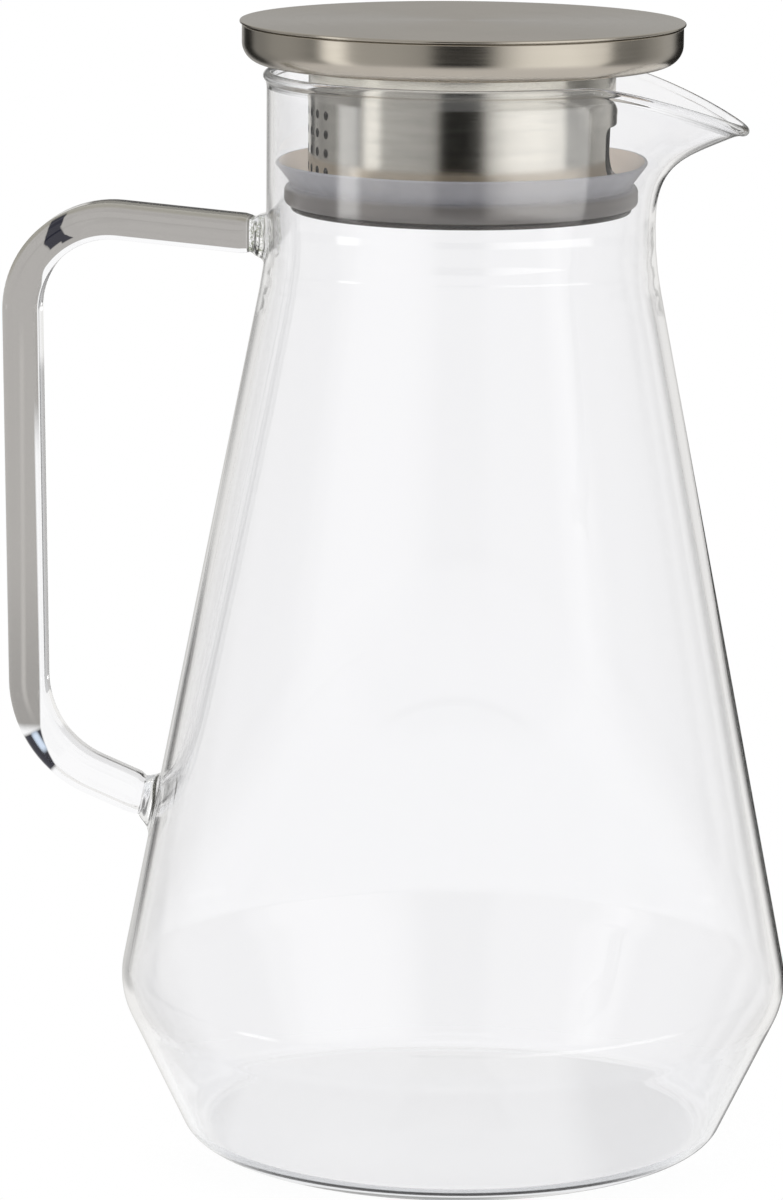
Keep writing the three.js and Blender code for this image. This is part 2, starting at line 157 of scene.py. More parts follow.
# Level round the carafe as thick edges of glass show it, in rings from low to high, each with the
# rise in degrees over which it sets in: at the foot, low, in the middle, at the cone, high, over
# the rim and in the rim
BACK_GAP = ((-180, 0.01), (-177, 0.01), (-174, 0.75), (-170, 0.78))
LEFT_LINE = ((-163, 0.66), (-158, 0.75), (-155.5, 0.08), (-150.5, 0.08), (-147.5, 0.80),
             (-130, 0.90))
RIGHT_GAP = ((152, 0.90), (160, 0.86), (164, 0.30), (166, 0.01), (180, 0.01))
EDGE_RINGS = (
    ((-38, -34), (
        (-180, 0.30), (-175, 0.30), (-171, 0.85), (-150, 0.88), (167, 0.88), (171, 0.25), (180, 0.25),
    )),
    ((-17, -14), (
        *BACK_GAP, (-160, 0.62), (-156, 0.50), (-148, 0.50), (-143, 0.78), (-130, 0.90), *RIGHT_GAP,
    )),
    ((-11.0, -10.6), (*BACK_GAP, *LEFT_LINE, *RIGHT_GAP)),
    ((-8.8, -8.5), (
        (-180, 0.72), (-170, 0.78), *LEFT_LINE, (140, 0.90), (146, 0.60), (149, 0.60), (153, 0.84),
        (166, 0.82), (180, 0.72),
    )),
    ((-7.6, -6.8), (
        (-180, 0.70), (-171, 0.80), (-166, 0.75), (-163, 0.25), (-158, 0.25), (-155, 0.55),
        (-151, 0.72), (-146, 0.80), (-135, 0.86), (-120, 0.90), (140, 0.90), (146, 0.45),
        (149, 0.45), (153, 0.80), (166, 0.82), (180, 0.72),
    )),
    ((2, 4), (
        (-180, 0.20), (-140, 0.20), (-110, 0.90), (110, 0.90), (140, 0.20), (180, 0.20),
    )),
    ((19, 21), (
        (-180, 0.80), (-140, 0.80), (-110, 0.45), (-77, 0.45), (-71, 1.20), (-62, 1.20), (-56, 0.50),
        (-15, 0.40), (-9, 0.02), (8, 0.02), (25, 0.80), (62, 1.10), (84, 0.90), (90, 0.30),
        (110, 0.40), (140, 0.80), (180, 0.80),
    )),
)

# Light from above and below, of a plain room and of the backdrop
OVERHEAD = (0.50, 0.495, 0.485)
GROUND = (0.75, 0.74, 0.74)
PALE = (0.88, 0.88, 0.89)
WHITE = (1.0, 1.0, 1.0)


def length(name, description, default):
    """A size in metres."""
    return FloatProperty(name=name, description=description, default=default,
                         min=0.0, unit="LENGTH", precision=4)


def turn(name, description, degrees):
    """An angle, given in degrees."""
    return FloatProperty(name=name, description=description,
                         default=math.radians(degrees), subtype="ANGLE")


def colour(name, description, default):
    """A colour in linear light."""
    return FloatVectorProperty(name=name, description=description, default=default,
                               size=3, min=0.0, max=1.0, subtype="COLOR")


class CarafeVessel(bpy.types.PropertyGroup):
    """Sizes and colour of the blown vessel."""

    height: length("Height", "From the table to the rim", 0.2378)
    wall: length("Wall", "Thickness of the glass wall", 0.0022)
    neck_wall: length("Neck wall", "Thickness of the wall at the neck", 0.0014)
    floor: length("Floor", "Thickness of the floor", 0.002)
    neck_radius: length("Neck radius", "Outside of the neck", 0.0425)
    neck_length: length("Neck length", "From the shoulder to the rim", 0.0406)
    belly_radius: length("Belly radius", "Where cone and foot would meet", 0.075)
    belly_height: length("Belly height", "Height of the widest place", 0.0334)
    base_radius: length("Base radius", "Where foot and floor would meet", 0.0592)
    shoulder_round: length("Shoulder round", "Radius of the shoulder's curve", 0.075)
    belly_round: length("Belly round", "Radius of the belly's curve", 0.017)
    base_round: length("Base round", "Radius of the lower edge", 0.0055)
    floor_round: length("Floor round", "Radius inside, at the floor", 0.005)
    bead: length("Bead", "Radius of the fire-polished rim", 0.0011)
    kick: length("Kick", "Rise of the base's hollow middle", 0.0007)
    spout_depth: length("Spout depth", "Length of neck that is drawn out", 0.0313)
    spout_reach: length("Spout reach", "How far the tip stands out", 0.0194)
    spout_drop: length("Spout drop", "How far the tip lies below the rim", 0.0105)
    spout_root_pull: length("Spout root pull", "Stiffness of the line at its root", 0.015)
    spout_tip_pull: length("Spout tip pull", "Stiffness of the line at its tip", 0.013)
    spout_spread: turn("Spout spread", "Half of the angle that is drawn out", 45)
    spout_rise: turn("Spout rise", "Slope of the tip", 25)
    spout_nose: turn("Spout nose", "Bluntness of the tip", 4)
    spout_point: FloatProperty(name="Spout point", description="How pointed the spout is",
                               default=1.6, min=1.0, max=4.0)
    tint: colour("Tint", "Colour of the clear glass", (0.970, 0.970, 0.978))


class CarafeHandle(bpy.types.PropertyGroup):
    """Sizes and colours of the glass handle."""

    thickness: length("Thickness", "Of the bar, in the handle's plane", 0.008)
    width: length("Width", "Of the bar, across the handle's plane", 0.0115)
    edge_round: length("Edge round", "Radius along the bar's edges", 0.0022)
    reach: length("Reach", "From the vessel's axis to the middle of the grip", 0.0969)
    lean: length("Lean", "How much nearer to the vessel the grip's lower end is", 0.0014)
    top_below_rim: length("Top below rim", "Where the top arm meets the neck", 0.0367)
    foot_height: length("Foot height", "Where the lower arm meets the cone", 0.0731)
    top_slope: turn("Top slope", "Rise of the top arm on its way out", 5)
    foot_slope: turn("Foot slope", "Rise of the lower arm on its way out", 23)
    top_bend: length("Top bend", "Radius of the upper bend", 0.020)
    foot_bend: length("Foot bend", "Radius of the lower bend", 0.024)
    upper_weld: length("Upper weld", "Length of the bead at the neck", 0.0042)
    upper_flare: length("Upper flare", "Spread of the bead at the neck", 0.0024)
    lower_weld: length("Lower weld", "Length of the bead at the cone", 0.0046)
    lower_flare: length("Lower flare", "Spread of the bead at the cone", 0.0045)
    side_flare: length("Side flare", "Spread of both beads sideways", 0.003)
    waist: length("Waist", "Depth of the groove where bar and bead meet", 0.0006)
    # painted grey: a tone that stands in for what the bar's flat sides reflect
    painted_grey: colour("Painted grey", "Tone of the bar's flat sides", (0.42, 0.405, 0.385))
    # painted dark reflections in the bends
    dark: colour("Dark", "Tone of the glints in the bends", (0.0005, 0.0005, 0.0012))


class CarafeLid(bpy.types.PropertyGroup):
    """Sizes and colour of the lid."""

    overhang: length("Overhang", "Of the pan over the neck", 0.0054)
    above_rim: length("Above rim", "Gap between the pan and the rim", 0.0018)
    sheet: length("Sheet", "Thickness of the steel", 0.001)
    pan_depth: length("Pan depth", "Height of the pan", 0.0083)
    pan_round: length("Pan round", "Radius of the pan's lower edge", 0.0045)
    disc: length("Disc", "Thickness of the top disc", 0.0006)
    disc_overhang: length("Disc overhang", "Of the disc over the pan", 0.0005)
    disc_round: length("Disc round", "Radius of the disc's edge", 0.0003)
    skirt: length("Skirt", "Depth of the disc's skirt in the pan", 0.004)
    steel: colour("Steel", "Colour of the satin steel", (0.62, 0.575, 0.50))


class CarafeCollar(bpy.types.PropertyGroup):
    """Sizes and colour of the strainer collar."""

    gap: length("Gap", "Between the sleeve and the neck", 0.0077)
    sheet: length("Sheet", "Thickness of the sleeve", 0.0008)
    depth: length("Depth", "Height of the sleeve", 0.0315)
    flange_gap: length("Flange gap", "Between the flange and the neck", 0.0039)
    flange: length("Flange", "Thickness of the flange", 0.001)
    hole: length("Hole", "Diameter of a strainer hole", 0.002)
    rows: IntProperty(name="Rows", description="Rows of holes", default=4, min=1)
    columns: IntProperty(name="Columns", description="Holes in a row", default=10, min=1)
    row_pitch: length("Row pitch", "Between rows of holes", 0.00405)
    column_pitch: length("Column pitch", "Between holes in a row", 0.0044)
    holes_below: length("Holes below", "From the sleeve's top to the first row", 0.0097)
    window_width: length("Window width", "Of the pour window", 0.022)
    window_height: length("Window height", "Of the pour window", 0.0112)
    window_below: length("Window below", "From the sleeve's top to the window", 0.0125)
    window_top: length("Window top", "Radius of the window's upper corners", 0.002)
    window_foot: length("Window foot", "Radius of the window's lower corners", 0.0045)
    steel: colour("Steel", "Colour of the brushed steel", (0.70, 0.68, 0.62))
    # painted shade: the tone of the collar's inside, holes and flange, where shade falls
    inside: colour("Inside", "Colour of the inside's painted shade", (0.07, 0.062, 0.058))


class CarafeSeal(bpy.types.PropertyGroup):
    """Sizes and colour of the silicone seal."""

    body: length("Body", "Height of the ring's body", 0.0041)
    body_gap: length("Body gap", "Between the body and the neck", 0.0025)
    body_round: length("Body round", "Radius of the body's edges", 0.0012)
    groove: length("Groove", "Depth of the groove above the body", 0.0017)
    lip_rise: length("Lip rise", "Height of the flared lip", 0.0053)
    lip: length("Lip", "Thickness of the lip", 0.0011)
    silicone: colour("Silicone", "Colour of the lip", (0.62, 0.63, 0.68))
    # painted shade: the body below the shoulder darker, for the shade and dark steel behind it
    painted_body_shade: colour("Body tone", "Colour of the body's painted shade", (0.31, 0.295, 0.29))
    # painted light: the lip's inner side lighter and warmer, for light that shines through the
    # silicone
    inside: colour("Inside", "Colour of the lip's inner side", (1.0, 0.90, 0.80))


class CarafeStage(bpy.types.PropertyGroup):
    """Camera, floor and light."""

    distance: length("Distance", "From the axis to the camera, level", 1.14586)
    camera_height: length("Camera height", "Above the table", 0.35179)
    azimuth: turn("Azimuth", "Of the camera, from square on", 4.0)
    yaw: turn("Yaw", "Of the camera, from the axis", -0.723)
    dip: turn("Dip", "Of the camera, below level", 11.412)
    roll: turn("Roll", "Of the camera", 0.467)
    lens: FloatProperty(name="Lens", description="Focal length", default=158.327,
                        unit="CAMERA")
    floor_radius: length("Floor radius", "Of the pale floor", 0.9)
    floor: colour("Floor", "Colour of the floor", (0.9, 0.9, 0.9))


# Meshes


def rounded(corners):
    """Points of an outline of (r, z, fillet) corners, with an arc at each that has a fillet."""
    points = []
    for i, (r, z, fillet) in enumerate(corners):
        here = Vector((r, z))
        if not fillet:
            points.append(here)
            continue
        back = (Vector(corners[i - 1][:2]) - here).normalized()
        ahead = (Vector(corners[i + 1][:2]) - here).normalized()
        half = back.angle(ahead) / 2
        start = here + back * (fillet / math.tan(half))
        end = here + ahead * (fillet / math.tan(half))
        centre = here + (back + ahead).normalized() * (fillet / math.sin(half))
        first = math.atan2(start.y - centre.y, start.x - centre.x)
        sweep = math.atan2(end.y - centre.y, end.x - centre.x) - first
        sweep -= math.tau * round(sweep / math.tau)
        steps = max(3, math.ceil(abs(sweep) / ARC_STEP))
        for k in range(steps + 1):
            angle = first + sweep * k / steps
            points.append(centre + fillet * Vector((math.cos(angle), math.sin(angle))))
    return points


def densified(points, step):
    """The same run of points with more on its long straight stretches."""
    out = [points[0]]
    for before, after in zip(points, points[1:]):
        count = max(1, math.ceil((after - before).length / step))
        out += [before.lerp(after, k / count) for k in range(1, count + 1)]
    return out


def offset_corner(before, corner, after, first, second):
    """Where two lines meet after each has moved to its left by its own distance."""
    inward = (Vector(corner[:2]) - Vector(before[:2])).normalized()
    outward = (Vector(after[:2]) - Vector(corner[:2])).normalized()
    cross = inward.x * outward.y - inward.y * outward.x
    along = (second - first * inward.dot(outward)) / cross
    return (corner[0] - inward.y * first - inward.x * along,
            corner[1] + inward.x * first - inward.y * along)


def mesh_object(name, vertices, faces):
    """A new smooth mesh object in the scene."""
    mesh = bpy.data.meshes.new(name)
    mesh.from_pydata([tuple(v) for v in vertices], [], faces)
    mesh.validate()
    mesh.shade_smooth()
    obj = bpy.data.objects.new(name, mesh)
    bpy.context.scene.collection.objects.link(obj)
    return obj


def revolved(name, outline, segments):
    """A solid of revolution. The outline runs anticlockwise: from axis to axis, or as a loop."""
    angles = np.arange(segments) * math.tau / segments
    r = np.array([p.x for p in outline])
    z = np.array([p.y for p in outline])
    grid = np.stack([r * np.cos(angles)[:, None], r * np.sin(angles)[:, None],
                     np.broadcast_to(z, (segments, len(z)))], axis=2)
    return wrapped(name, grid, outline[0].x < 1e-9)


def wrapped(name, grid, poles):
    """A closed skin over a grid of angle by outline; with poles its ends lie on the axis."""
    segments, count = grid.shape[:2]
    faces = []
    if poles:
        inner = grid[:, 1:-1].reshape(-1, 3)
        vertices = np.vstack([inner, grid[0, :1], grid[0, -1:]])
        rows = count - 2
        foot, top = len(inner), len(inner) + 1
    else:
        vertices = grid.reshape(-1, 3)
        rows = count
    for a in range(segments):
        b = (a + 1) % segments
        for p in range(rows - 1):
            faces.append((a * rows + p, b * rows + p, b * rows + p + 1, a * rows + p + 1))
        if poles:
            faces.append((foot, b * rows, a * rows))
            faces.append((a * rows + rows - 1, b * rows + rows - 1, top))
        else:
            faces.append((a * rows + rows - 1, b * rows + rows - 1, b * rows, a * rows))
    return mesh_object(name, vertices, faces)


def carved(target, tool, operation):
    """Joins or cuts the target with the tool, which is used up."""
    modifier = target.modifiers.new("carve", "BOOLEAN")
    modifier.operation = operation
    modifier.object = tool
    modifier.solver = "EXACT"
    modifier.material_mode = "TRANSFER"
    bpy.context.view_layer.update()
    depsgraph = bpy.context.evaluated_depsgraph_get()
    mesh = bpy.data.meshes.new_from_object(target.evaluated_get(depsgraph))
    target.modifiers.remove(modifier)
    old = target.data
    name = old.name
    target.data = mesh
    bpy.data.meshes.remove(old)
    mesh.name = name
    bpy.data.objects.remove(tool)


def sharpened(obj, degrees):
    """Smooth shading with hard lines at edges sharper than the angle."""
    obj.data.shade_smooth()
    obj.data.set_sharp_from_angle(angle=math.radians(degrees))


# Vessel


def vessel_corners(v):
    """Corners of the outer face, from the axis up to the end of the neck."""
    return [
        (0.0, 0.0, 0),
        (v.base_radius, 0.0, v.base_round),
        (v.belly_radius, v.belly_height, v.belly_round),
        (v.neck_radius, v.height - v.neck_length, v.shoulder_round),
        (v.neck_radius, v.height - BEAD_SWELL * v.bead, 0),
    ]


def vessel_outline(v):
    """The whole outline of the wall, outside, rim and inside, and which points are the rim's."""
    corners = vessel_corners(v)
    axis, base, belly, shoulder, top = corners
    wall_top = v.height - v.bead
    inner_neck = v.neck_radius - v.neck_wall
    inner = [
        (inner_neck, wall_top, 0),
        (*offset_corner(belly, shoulder, top, v.wall, v.neck_wall), v.shoulder_round + v.wall),
        (*offset_corner(base, belly, shoulder, v.wall, v.wall), v.belly_round - v.wall),
        (*offset_corner(axis, base, belly, v.floor, v.wall), v.floor_round),
        (0.0, v.floor, 0),
    ]
    centre = Vector((inner_neck + v.bead, wall_top))
    rim = [centre + v.bead * Vector((math.cos(a), math.sin(a)))
           for a in np.linspace(RIM_START, math.pi, RIM_STEPS)[:-1]]
    low = Vector(top[:2])
    bend = Vector((v.neck_radius, rim[0].y - 0.5 * v.bead))
    swell = [(1 - t) ** 2 * low + 2 * (1 - t) * t * bend + t * t * rim[0]
             for t in (k / 6 for k in range(1, 6))]
    rim = swell + rim
    outside = densified(rounded(corners), VESSEL_STEP)
    inside = densified(rounded(inner), VESSEL_STEP)
    hollow = v.base_radius - v.base_round - BASE_FLAT
    for point in outside + inside:
        if point.x < hollow and point.y < v.floor * 1.5:
            s = 1 - (point.x / hollow) ** 2
            point.y += v.kick * s * s
    return outside + rim + inside, range(len(outside), len(outside) + len(rim))


def spout_grid(v, outline):
    """The outline turned about the axis, with the neck drawn out to a spout."""
    even = np.arange(VESSEL_SEGMENTS) * math.tau / VESSEL_SEGMENTS
    even = np.where(even > math.pi, even - math.tau, even)
    angle = even - SPOUT_CROWDING * np.sin(even)
    blunt = np.hypot(angle, v.spout_nose) - v.spout_nose
    follow = np.maximum(0, 1 - blunt / v.spout_spread) ** v.spout_point
    r = np.array([p.x for p in outline])
    z = np.array([p.y for p in outline])
    wall_top = v.height - v.bead
    root = wall_top - v.spout_depth
    middle = v.neck_radius - v.neck_wall / 2
    tip = np.array([middle + v.spout_reach, wall_top - v.spout_drop])
    rise = np.array([math.cos(v.spout_rise), math.sin(v.spout_rise)])
    p0 = np.array([middle, root])
    p1 = np.array([middle, root + v.spout_root_pull])
    p2 = tip - v.spout_tip_pull * rise
    on_wall = np.minimum(z, wall_top)
    t = np.clip((on_wall - root) / v.spout_depth, 0, 1)[:, None]
    line = ((1 - t) ** 3 * p0 + 3 * (1 - t) ** 2 * t * p1
            + 3 * (1 - t) * t ** 2 * p2 + t ** 3 * tip)
    slope = (1 - t) ** 2 * (p1 - p0) + 2 * (1 - t) * t * (p2 - p1) + t ** 2 * (tip - p2)
    slope /= np.linalg.norm(slope, axis=1, keepdims=True)
    follow = (follow[:, None] * (z > root))[:, :, None]
    upright = np.stack([np.full_like(z, middle), on_wall], axis=1)
    place = upright + follow * (line - upright)
    run = np.array([0.0, 1.0]) + follow * (slope - np.array([0.0, 1.0]))
    run /= np.linalg.norm(run, axis=2, keepdims=True)
    across = r - middle
    beyond = z - on_wall
    radius = place[:, :, 0] + run[:, :, 1] * across + run[:, :, 0] * beyond
    height = place[:, :, 1] - run[:, :, 0] * across + run[:, :, 1] * beyond
    return np.stack([radius * np.cos(angle)[:, None], radius * np.sin(angle)[:, None],
                     height], axis=2)


# Handle


def bar_section(h):
    """Points round the bar's section as (across the plane of the loop's line, along Y)."""
    a, b, e = h.thickness / 2, h.width / 2, h.edge_round
    points = []
    for quarter, (u, w) in enumerate(((1, 1), (-1, 1), (-1, -1), (1, -1))):
        for k in range(9):
            angle = (quarter + k / 8) * math.pi / 2
            points.append(Vector((u * (a - e) + e * math.cos(angle),
                                  w * (b - e) + e * math.sin(angle))))
    points.append(points[0])
    return densified(points, BAR_STEP)[:-1]


class Arm:
    """An arm of the handle: where its middle meets the vessel, and its way outwards."""

    def __init__(self, v, height, slope):
        shoulder = v.height - v.neck_length
        on_cone = max(0.0, (shoulder - height) / (shoulder - v.belly_height))
        wall = v.neck_radius + (v.belly_radius - v.neck_radius) * on_cone
        self.root = Vector((-wall, height))
        self.away = Vector((-math.cos(slope), math.sin(slope)))

    def corner(self, reach):
        """Where the arm's middle line crosses the upright grip."""
        return self.root + self.away * ((-reach - self.root.x) / self.away.x)


def wall_radius(v):
    """The vessel's outer radius as a function of height, without the spout."""
    outline = [p for p in rounded(vessel_corners(v)) if p.x > v.base_radius * 0.5]
    heights = [p.y for p in outline]
    radii = [p.x for p in outline]
    return lambda z: float(np.interp(z, heights, radii))


def on_wall(start, away, radius_at, sink):
    """The point of a line, given back from start towards the vessel, that lies on its wall."""
    low, high = WALL_SEARCH
    for _ in range(WALL_HALVINGS):
        run = (low + high) / 2
        point = start + away * run
        outside = math.hypot(point.x, point.y) > radius_at(point.z) - sink
        low, high = (low, run) if outside else (run, high)
    return start + away * high


def weld_rings(v, h, arm, across, long_weld, flare):
    """Rings of a melted bead, from the bar's end to inside the wall."""
    radius_at = wall_radius(v)
    away = Vector((arm.away.x, 0, arm.away.y))
    root = Vector((arm.root.x, 0, arm.root.y))
    section = bar_section(h)
    rings = [[] for _ in range(WELD_STEPS + 2)]
    for p in section:
        lean = Vector((p.x / (h.thickness / 2), p.y / (h.width / 2)))
        lean /= max(1.0, lean.length)
        start = root + across * p.x + Vector((0, p.y, 0))
        spread = start + across * (lean.x * flare) + Vector((0, lean.y * h.side_flare, 0))
        foot = on_wall(start, away, radius_at, 0)
        rim = on_wall(spread, away, radius_at, 0.0002)
        deep = on_wall(spread, away, radius_at, v.neck_wall * 0.5)
        begin = foot + away * long_weld
        tight = across * lean.x + Vector((0, lean.y, 0))
        for k in range(WELD_STEPS + 1):
            t = k / WELD_STEPS
            waist = h.waist * math.exp(-((t - WAIST_AT) / WAIST_SPREAD) ** 2)
            rings[k].append((1 - t) ** 2 * begin + 2 * (1 - t) * t * foot + t * t * rim
                            - tight * waist)
        rings[WELD_STEPS + 1].append(deep)
    return rings


def bar_rings(v, h):
    """Rings of the whole handle, from inside the neck to inside the cone."""
    top = Arm(v, v.height - h.top_below_rim, h.top_slope)
    foot = Arm(v, h.foot_height, h.foot_slope)
    start = top.root + top.away * h.upper_weld
    end = foot.root + foot.away * h.lower_weld
    top_corner, foot_corner = top.corner(h.reach), foot.corner(h.reach - h.lean)
    line = densified(rounded([
        (start.x, start.y, 0),
        (top_corner.x, top_corner.y, h.top_bend),
        (foot_corner.x, foot_corner.y, h.foot_bend),
        (end.x, end.y, 0),
    ]), BAR_STEP)
    section = bar_section(h)
    rings = []
    for i, point in enumerate(line):
        before, after = line[max(i - 1, 0)], line[min(i + 1, len(line) - 1)]
        way = (after - before).normalized()
        out = Vector((way.y, 0, -way.x))
        rings.append([Vector((point.x, p.y, point.y)) + out * p.x for p in section])
    upper_out = Vector((top.away.y, 0, -top.away.x))
    lower_out = Vector((-foot.away.y, 0, foot.away.x))
    upper = weld_rings(v, h, top, upper_out, h.upper_weld, h.upper_flare)
    lower = weld_rings(v, h, foot, lower_out, h.lower_weld, h.lower_flare)
    return upper[::-1][:-1] + rings[1:-1] + lower[1:]


def handle_bar(v, h):
    """The handle as one closed bar whose ends lie inside the vessel's wall."""
    rings = bar_rings(v, h)
    count = len(rings[0])
    vertices = [p for ring in rings for p in ring]
    faces = []
    for i in range(len(rings) - 1):
        for k in range(count):
            n = (k + 1) % count
            faces.append((i * count + k, i * count + n, (i + 1) * count + n, (i + 1) * count + k))
    first = len(vertices)
    for ring in (rings[0], rings[-1]):
        vertices.append(sum(ring, Vector()) / count)
    last = (len(rings) - 1) * count
    for k in range(count):
        n = (k + 1) % count
        faces.append((first, n, k))
        faces.append((first + 1, last + k, last + n))
    return mesh_object("handle", vertices, faces)


# Node trees


class Number:
    """A number in a node tree, which adds and multiplies as plain numbers do."""

    def __init__(self, nodes, socket):
        self.nodes, self.socket = nodes, socket

    def __add__(self, other):
        return self.nodes.maths("ADD", self, other)

    def __sub__(self, other):
        return self.nodes.maths("SUBTRACT", self, other)

    def __rsub__(self, other):
        return self.nodes.maths("SUBTRACT", other, self)

    def __mul__(self, other):
        return self.nodes.maths("MULTIPLY", self, other)

    def __gt__(self, other):
        return self.nodes.maths("GREATER_THAN", self, other)

    def __lt__(self, other):
        return self.nodes.maths("LESS_THAN", self, other)


class Nodes:
    """The node tree of a material or a world, with short ways to add to it."""

    def __init__(self, owner, output):
        owner.use_nodes = True
        self.tree = owner.node_tree
        self.tree.nodes.clear()
        self.output = self.put(output)

    def put(self, kind, inputs=None, **settings):
        """A new node with its settings, and its inputs set to values or linked."""
        made = self.tree.nodes.new("ShaderNode" + kind)
        for key, value in settings.items():
            setattr(made, key, value)
        for key, value in (inputs or {}).items():
            socket = made.inputs[key]
            if isinstance(value, Number):
                value = value.socket
            elif isinstance(value, bpy.types.Node):
                value = value.outputs[0]
            if isinstance(value, bpy.types.NodeSocket):
                self.tree.links.new(value, socket)
            else:
                socket.default_value = (*value, 1) if socket.type == "RGBA" else value
        return made

    def surface(self, shader):
        """Sends a shader to the output."""
        self.tree.links.new(shader.outputs[0], self.output.inputs["Surface"])

    def maths(self, operation, *values):
        """The output of a maths node."""
        made = self.put("Math", dict(enumerate(values)), operation=operation)
        return Number(self, made.outputs[0])

    def most(self, first, *others):
        """The greatest of some numbers."""
        for other in others:
            first = self.maths("MAXIMUM", first, other)
        return first

    def vectors(self, operation, *values):
        """The output of a vector maths node: a number for a length or a dot product."""
        outputs = self.put("VectorMath", dict(enumerate(values)), operation=operation).outputs
        if operation in ("LENGTH", "DOT_PRODUCT"):
            return Number(self, outputs["Value"])
        return outputs["Vector"]

    def point(self):
        """The place on the object."""
        return self.put("TexCoord").outputs["Object"]

    def parts(self, vector):
        """The three numbers of a vector."""
        return [Number(self, s) for s in self.put("SeparateXYZ", {0: vector}).outputs]

    def geometry(self, name):
        """A fact about the surface."""
        return self.put("NewGeometry").outputs[name]

    def light_path(self):
        """What kind of ray arrives, by name."""
        return {s.name: Number(self, s) for s in self.put("LightPath").outputs}

    def smooth(self, value, low, high, start=0.0, end=1.0):
        """A smooth step from one number to another as the value passes from low to high."""
        made = self.put("MapRange", {"Value": value, "From Min": low, "From Max": high,
                                     "To Min": start, "To Max": end},
                        interpolation_type="SMOOTHSTEP")
        return Number(self, made.outputs["Result"])

    def fade(self, value, low, high):
        """One below low and nothing above high."""
        return self.smooth(value, low, high, 1.0, 0.0)

    def band(self, value, start, end, soft):
        """One between two values and nothing beyond them."""
        return (self.smooth(value, start - soft, start + soft)
                * self.fade(value, end - soft, end + soft))

    def blend(self, factor, first, second):
        """A colour between two colours."""
        return self.put("Mix", {"Factor": factor, "A": first, "B": second},
                        data_type="RGBA").outputs["Result"]

    def noise(self, place, scale, **inputs):
        """A cloudy pattern, as a number about a half."""
        made = self.put("TexNoise", {"Vector": place, "Scale": scale, **inputs})
        return Number(self, made.outputs["Fac"])

    def bump(self, strength, distance, height):
        """A normal that follows a height."""
        return self.put("Bump", {"Strength": strength, "Distance": distance, "Height": height})


# Materials


def new_material(name):
    """A new material and its empty nodes."""
    material = bpy.data.materials.new(name)
    return material, Nodes(material, "OutputMaterial")


def glass_surface(nodes, tint, edge, wave, wave_size):
    """Clear glass that lets lamps through, with painted shade at its edges, a near-black tint where
    it turns away from the view that stands in for the dark surroundings its edges refract, and the
    faint waves of a blown wall.
    The edge runs from the first to the second share of turning away."""
    waves = nodes.noise(nodes.point(), wave_size, Detail=1.0)
    facing = nodes.put("LayerWeight", {"Blend": 0.5}).outputs["Facing"]
    # painted shade: the glass turns near black where it turns away from the view
    tone = nodes.blend(nodes.smooth(facing, *edge), tint, PAINTED_EDGE_SHADE)
    glass = nodes.put("BsdfPrincipled", {
        "Base Color": tone, "Roughness": 0.0, "IOR": GLASS_IOR, "Transmission Weight": 1.0,
        "Normal": nodes.bump(wave, 0.001, waves)})
    clear = nodes.put("BsdfTransparent", {"Color": GLASS_SHADOW})
    path = nodes.light_path()
    thin = nodes.most(path["Is Shadow Ray"], path["Is Diffuse Ray"],
                      path["Ray Depth"] > TRAPPED_AFTER)
    nodes.surface(nodes.put("MixShader", {0: thin, 1: glass, 2: clear}))


def vessel_glass(v, name, edge, wave):
    """One of the vessel's clear glasses."""
    material, nodes = new_material(name)
    glass_surface(nodes, v.tint, edge, wave, 35.0)
    return material


def bend_centre(reach, arm, radius, side):
    """Middle of the bend between an arm and the grip; the side is 1 above and -1 below it."""
    corner = arm.corner(reach)
    inward = (Vector((0, -side)) - arm.away).normalized()
    half = Vector((0, -side)).angle(-arm.away) / 2
    return corner + inward * (radius / math.sin(half))


def around_bend(nodes, place, centre, side):
    """Distance from a bend's middle, and degrees along it from the grip."""
    x = nodes.maths("SUBTRACT", centre.x, place[0])
    z = (place[2] - centre.y) * float(side)
    reach = nodes.vectors("LENGTH", nodes.put("CombineXYZ", {0: x, 1: z}))
    return reach, nodes.maths("DEGREES", nodes.maths("ARCTAN2", z, x))


def loop_side(nodes, point, top, foot):
    """How deep a place lies from the middle of the handle's loop, and how far it faces inwards."""
    core = nodes.vectors("MAXIMUM", point, (top.x, 0, foot.y))
    core = nodes.vectors("MINIMUM", core, (1, 0, top.y))
    inside = nodes.vectors("MULTIPLY", nodes.vectors("SUBTRACT", core, point), (1, 0, 1))
    facing = nodes.vectors("DOT_PRODUCT", nodes.vectors("NORMALIZE", inside),
                           nodes.geometry("Normal"))
    return nodes.vectors("LENGTH", inside), facing


def painted_bar_grey(nodes, h, place, depth, inner):
    """Where the handle has its painted grey, which stands in for what its flat sides reflect, apart
    from its bead, and the painted grey's colour with its lighter and darker bands, top face and dark
    ridge line.
    """
    x, y, z = place
    on_arm = nodes.smooth(z, *ARM_HEIGHT)
    clear = nodes.smooth(z * CLEAR_SLOPE + x, *CLEAR_LINE) * nodes.fade(z, *CLEAR_HEIGHT)
    where = (nodes.fade(on_arm * ARM_TURN + inner, *PAINTED_GREY_TURN) * nodes.smooth(z, *PAINTED_GREY_HEIGHT)
             * nodes.maths("SUBTRACT", 1.0, nodes.geometry("Backfacing")) * (1.0 - clear))

    def shade(factor):
        return tuple((factor * c) ** 2 for c in h.painted_grey)

    # painted grey, darker low on the grip
    tone = nodes.blend(nodes.smooth(z, 0.095, 0.135), shade(0.80), shade(1.0))
    # painted lighter band along the grip
    grip = nodes.band(depth, 0.0187, 0.0196, 0.0004) * nodes.band(z, 0.095, 0.178, 0.006)
    tone = nodes.blend(grip, tone, shade(1.13))
    # painted light and shade: the arms' top face is darker and beige
    upper = on_arm * nodes.fade(inner, -0.8, -0.5)
    tone = nodes.blend(upper, tone, PAINTED_TOP_FACE_TONE)
    # painted dark line along the top arm's far edge
    painted_ridge_line = upper * nodes.band(y, 0.0024, 0.0042, 0.0004)
    return where, nodes.blend(painted_ridge_line, tone, PAINTED_RIDGE_LINE_TONE)


